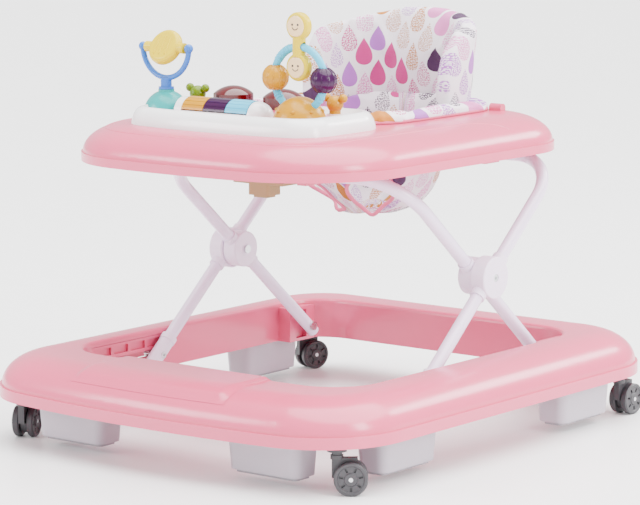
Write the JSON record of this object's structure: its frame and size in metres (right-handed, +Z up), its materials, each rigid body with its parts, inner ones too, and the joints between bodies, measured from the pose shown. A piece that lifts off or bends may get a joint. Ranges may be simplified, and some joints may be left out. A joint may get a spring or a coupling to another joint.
{
  "type": "baby walker",
  "caption": "Folding baby walker: wheeled base ring, crossed tube frame, tray with hanging fabric seat, padded back and a panel of moving toys.",
  "frame": {"origin": "on the floor under the middle of the base ring", "axes": "+Z up, the child faces -Y, +X is the child's left"},
  "size_m": [0.598, 0.703, 0.5387],
  "materials": {
    "pink_plastic": "glossy",
    "white_plastic": "glossy",
    "tube_paint": "satin powder coat",
    "joint_plastic": "satin",
    "stopper_plastic": "satin",
    "pad_rubber": "matt",
    "caster_grey": "satin",
    "steel": "plated",
    "yellow_plastic": "glossy",
    "amber_plastic": "glossy",
    "sky_plastic": "glossy",
    "fork_plastic": "glossy",
    "teal_plastic": "glossy",
    "purple_plastic": "glossy",
    "lamp_red": "clear, glossy",
    "lime_plastic": "glossy",
    "cream_plastic": "satin",
    "face_cream": "glossy",
    "seat_fabric": "printed woven cotton"
  },
  "bodies": {
    "base": {"base_ring": "pink_plastic", "track_plates": "pink_plastic", "pivot_blocks": "pink_plastic", "pivot_pins": "steel", "caster_sockets": "caster_grey", "stopper_front_left": "stopper_plastic", "stopper_front_right": "stopper_plastic", "stopper_side_left": "stopper_plastic", "stopper_side_right": "stopper_plastic", "stopper_rear_left": "stopper_plastic", "stopper_rear_right": "stopper_plastic", "stopper_pads": "pad_rubber"},
    "inner_frame": {"inner_tube": "tube_paint", "inner_joint_halves": "joint_plastic"},
    "outer_frame": {"outer_tube": "tube_paint", "outer_joint_halves": "joint_plastic", "joint_screws": "steel", "slide_feet": "joint_plastic", "slide_pins": "steel"},
    "tray": {"tray_shell": "pink_plastic", "rear_pegs": "pink_plastic", "rear_clamps": "pink_plastic", "front_guides": "pink_plastic", "toy_panel": "white_plastic", "teal_dome": "teal_plastic", "piano_housing": "white_plastic", "ring_base": "amber_plastic", "ring_arch": "sky_plastic", "lamp_base": "pink_plastic", "lamp_lenses": "lamp_red", "button_seats": "white_plastic", "seat_sling": "seat_fabric", "seat_hooks": "pink_plastic", "backrest": "seat_fabric"},
    "latch_slider": {"latch_block": "cream_plastic"},
    "latch_push": {"latch_button": "cream_plastic"},
    "spinner_fork": {"yoke": "fork_plastic", "spinner_axle": "steel"},
    "spinner_paddle": {"spinner": "yellow_plastic"},
    "key_orange": {"orange_key": "amber_plastic"},
    "key_purple": {"purple_key": "purple_plastic"},
    "key_blue": {"blue_key": "sky_plastic"},
    "button_green": {"green_button": "lime_plastic"},
    "button_orange": {"orange_button": "amber_plastic"},
    "figure": {"figure_paddle": "yellow_plastic", "figure_faces": "face_cream"},
    "ball_orange": {"orange_ball": "amber_plastic"},
    "ball_purple": {"purple_ball": "purple_plastic"},
    "caster_front_left": {"caster_body_front_left": "caster_grey"},
    "wheel_front_left": {"wheels_front_left": "caster_grey", "axle_front_left": "steel"},
    "caster_front_right": {"caster_body_front_right": "caster_grey"},
    "wheel_front_right": {"wheels_front_right": "caster_grey", "axle_front_right": "steel"},
    "caster_rear_left": {"caster_body_rear_left": "caster_grey"},
    "wheel_rear_left": {"wheels_rear_left": "caster_grey", "axle_rear_left": "steel"},
    "caster_rear_right": {"caster_body_rear_right": "caster_grey"},
    "wheel_rear_right": {"wheels_rear_right": "caster_grey", "axle_rear_right": "steel"}
  },
  "joints": [
    {"name": "fold", "type": "hinge", "parent": "base", "child": "inner_frame", "pos_m": [0, 0.213, 0.08], "axis": [1, 0, 0], "range_deg": [0, 32]},
    {"name": "scissor", "type": "hinge", "parent": "inner_frame", "child": "outer_frame", "pos_m": [0, 0.07081, 0.20299], "axis": [1, 0, 0], "range_deg": [-64, 0]},
    {"name": "tray_level", "type": "hinge", "parent": "outer_frame", "child": "tray", "pos_m": [0, 0.22434, 0.3358], "axis": [1, 0, 0], "range_deg": [0, 32]},
    {"name": "latch_level", "type": "hinge", "parent": "inner_frame", "child": "latch_slider", "pos_m": [0, -0.08272, 0.3358], "axis": [1, 0, 0], "range_deg": [-32, 0]},
    {"name": "latch_press", "type": "slide", "parent": "latch_slider", "child": "latch_push", "axis": [0, 0, 1], "range_m": [0, 0.003], "stiffness_N_per_m": 900},
    {"name": "fork_turn", "type": "hinge", "parent": "tray", "child": "spinner_fork", "pos_m": [-0.124, -0.147, 0.44], "axis": [0, 0, 1], "continuous": true},
    {"name": "spinner_spin", "type": "hinge", "parent": "spinner_fork", "child": "spinner_paddle", "pos_m": [-0.124, -0.147, 0.4865], "axis": [1, 0, 0], "continuous": true},
    {"name": "key_orange_press", "type": "slide", "parent": "tray", "child": "key_orange", "axis": [0, 0.5, -0.866], "range_m": [0, 0.0015], "stiffness_N_per_m": 700},
    {"name": "key_purple_press", "type": "slide", "parent": "tray", "child": "key_purple", "axis": [0, 0.5, -0.866], "range_m": [0, 0.0015], "stiffness_N_per_m": 700},
    {"name": "key_blue_press", "type": "slide", "parent": "tray", "child": "key_blue", "axis": [0, 0.5, -0.866], "range_m": [0, 0.0015], "stiffness_N_per_m": 700},
    {"name": "button_green_press", "type": "slide", "parent": "tray", "child": "button_green", "axis": [0, 0, -1], "range_m": [0, 0.003], "stiffness_N_per_m": 600},
    {"name": "button_orange_press", "type": "slide", "parent": "tray", "child": "button_orange", "axis": [0, 0, -1], "range_m": [0, 0.003], "stiffness_N_per_m": 600},
    {"name": "figure_flip", "type": "hinge", "parent": "tray", "child": "figure", "pos_m": [0.088, -0.147, 0.4975], "axis": [1, 0, 0], "continuous": true},
    {"name": "ball_orange_spin", "type": "hinge", "parent": "tray", "child": "ball_orange", "pos_m": [0.05115, -0.147, 0.459], "axis": [0, 0, 1], "continuous": true},
    {"name": "ball_purple_spin", "type": "hinge", "parent": "tray", "child": "ball_purple", "pos_m": [0.12485, -0.147, 0.459], "axis": [0, 0, 1], "continuous": true},
    {"name": "caster_front_left_swivel", "type": "hinge", "parent": "base", "child": "caster_front_left", "pos_m": [0.25, -0.283, 0.06], "axis": [0, 0, 1], "continuous": true},
    {"name": "wheel_front_left_roll", "type": "hinge", "parent": "caster_front_left", "child": "wheel_front_left", "pos_m": [0.26261, -0.27315, 0.02], "axis": [0.6157, -0.788, 0], "continuous": true},
    {"name": "caster_front_right_swivel", "type": "hinge", "parent": "base", "child": "caster_front_right", "pos_m": [-0.25, -0.283, 0.06], "axis": [0, 0, 1], "continuous": true},
    {"name": "wheel_front_right_roll", "type": "hinge", "parent": "caster_front_right", "child": "wheel_front_right", "pos_m": [-0.25676, -0.2685, 0.02], "axis": [0.9063, 0.4226, 0], "continuous": true},
    {"name": "caster_rear_left_swivel", "type": "hinge", "parent": "base", "child": "caster_rear_left", "pos_m": [0.263, 0.288, 0.06], "axis": [0, 0, 1], "continuous": true},
    {"name": "wheel_rear_left_roll", "type": "hinge", "parent": "caster_rear_left", "child": "wheel_rear_left", "pos_m": [0.26356, 0.30399, 0.02], "axis": [0.9994, -0.0349, 0], "continuous": true},
    {"name": "caster_rear_right_swivel", "type": "hinge", "parent": "base", "child": "caster_rear_right", "pos_m": [-0.263, 0.288, 0.06], "axis": [0, 0, 1], "continuous": true},
    {"name": "wheel_rear_right_roll", "type": "hinge", "parent": "caster_rear_right", "child": "wheel_rear_right", "pos_m": [-0.25753, 0.30303, 0.02], "axis": [0.9397, -0.342, 0], "continuous": true}
  ],
  "couplings": [
    {"joint": "scissor", "follows": "fold", "ratio": -2},
    {"joint": "tray_level", "follows": "fold", "ratio": 1},
    {"joint": "latch_level", "follows": "fold", "ratio": -1}
  ]
}
